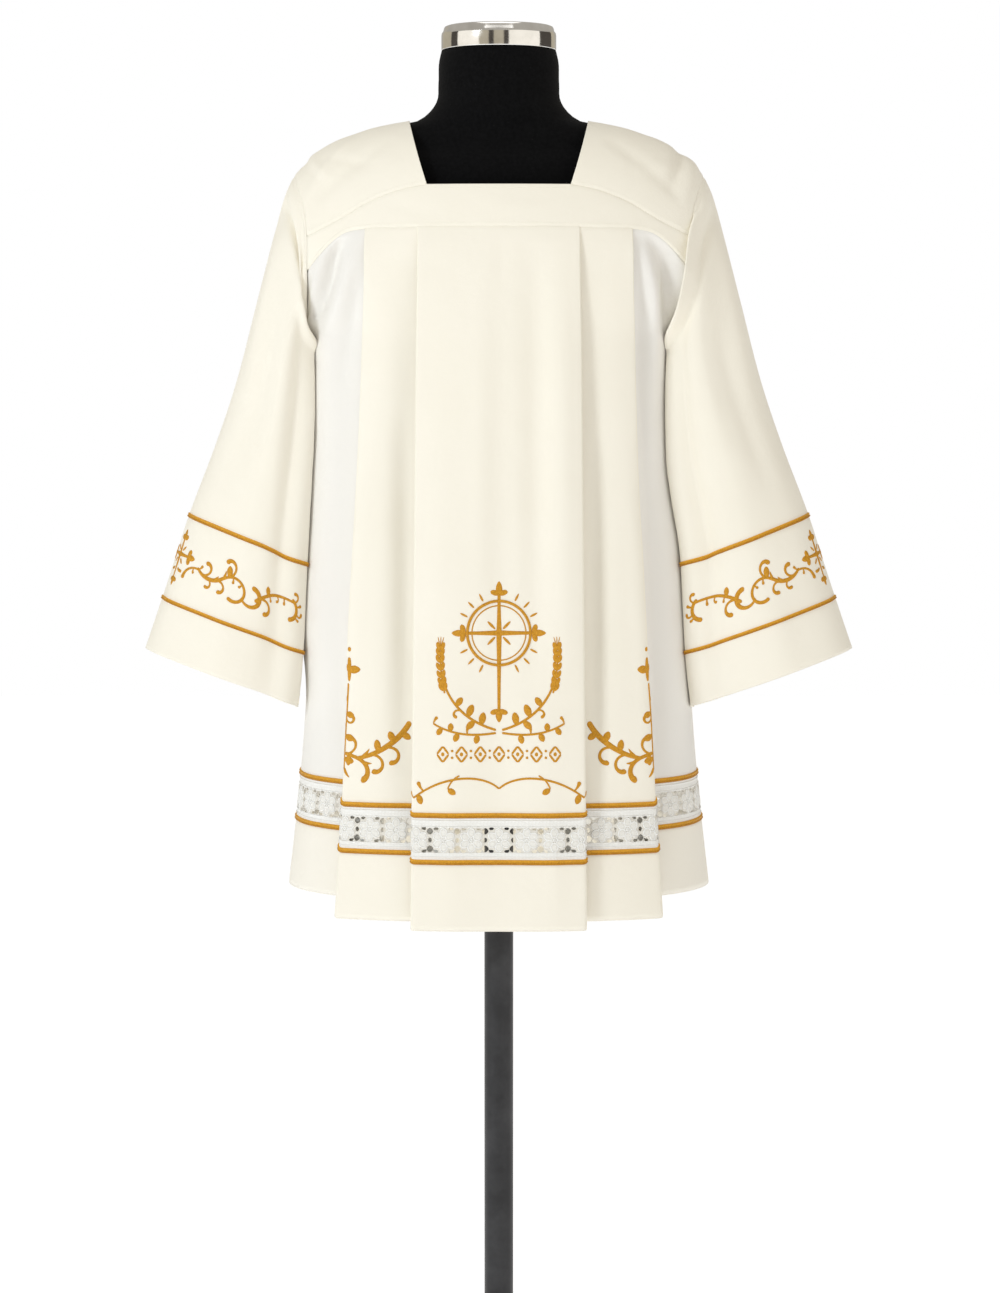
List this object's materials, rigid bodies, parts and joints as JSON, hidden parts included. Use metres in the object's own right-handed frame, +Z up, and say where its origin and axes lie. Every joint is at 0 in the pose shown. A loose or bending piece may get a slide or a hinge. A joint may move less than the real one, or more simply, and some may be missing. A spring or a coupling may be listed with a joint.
{
  "type": "surplice on a dress form",
  "caption": "Pleated wide-sleeved surplice with a square neck, gold braids and a see-through lace band, on a limbless dress form with pole and base.",
  "frame": {"origin": "on the floor, under the middle of the base plate", "axes": "+Z up, the front of the surplice faces -Y, the wearer's left is at +X"},
  "size_m": [0.776, 0.3472, 1.589],
  "materials": {
    "cream_cloth": "matt plain weave",
    "white_lace": "matt corded lace",
    "gold_braid": "satin thread",
    "black_cloth": "matt stretched knit",
    "chrome": "polished",
    "dark_metal": "satin black paint"
  },
  "bodies": {
    "root": {"yoke_front": "cream_cloth", "yoke_back": "cream_cloth", "shoulder_left": "cream_cloth", "shoulder_right": "cream_cloth", "front_skirt": "cream_cloth", "back_skirt": "cream_cloth", "hem_front": "cream_cloth", "hem_back": "cream_cloth", "sleeve_left": "cream_cloth", "sleeve_right": "cream_cloth", "lace_front": "white_lace", "lace_back": "white_lace", "braid_upper_front": "gold_braid", "braid_upper_back": "gold_braid", "braid_lower_front": "gold_braid", "braid_lower_back": "gold_braid", "sleeve_braid_upper_left": "gold_braid", "sleeve_braid_upper_right": "gold_braid", "sleeve_braid_lower_left": "gold_braid", "sleeve_braid_lower_right": "gold_braid", "form_torso": "black_cloth", "neck_cap": "chrome", "form_pole": "dark_metal", "form_base": "dark_metal"}
  },
  "joints": []
}
